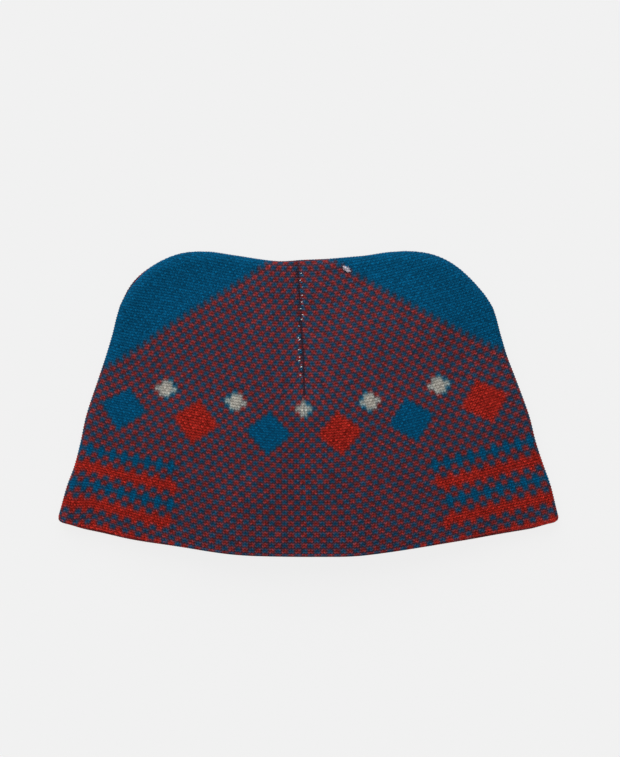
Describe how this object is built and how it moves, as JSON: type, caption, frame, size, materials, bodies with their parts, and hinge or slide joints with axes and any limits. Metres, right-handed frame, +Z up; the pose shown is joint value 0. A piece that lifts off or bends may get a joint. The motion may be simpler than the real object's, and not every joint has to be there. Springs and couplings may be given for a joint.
{
  "type": "child's knit cap",
  "caption": "Double-knit pull-on cap with two soft crown corners, a centre dart and a narrow linked hem, laid flat with its mouth slightly open.",
  "frame": {"origin": "middle of the footprint of the cap as it lies on its back panel, at the height of the surface it lies on", "axes": "+X across the cap, +Y from the mouth towards the crown, +Z up from the surface, out of the front panel"},
  "size_m": [0.249, 0.1528, 0.021],
  "materials": {
    "checked_knit": "two-colour double-knit cotton, petrol blue and brick red in a small check, matt",
    "hem_yarn": "linked edge in brick red cotton yarn, matt",
    "seam_yarn": "linking thread, dark red and petrol with pale glints, matt"
  },
  "bodies": {
    "root": {"front_panel": "checked_knit", "back_panel": "checked_knit", "hem_edge": "hem_yarn", "front_dart_seam": "seam_yarn", "back_dart_seam": "seam_yarn"}
  },
  "joints": []
}
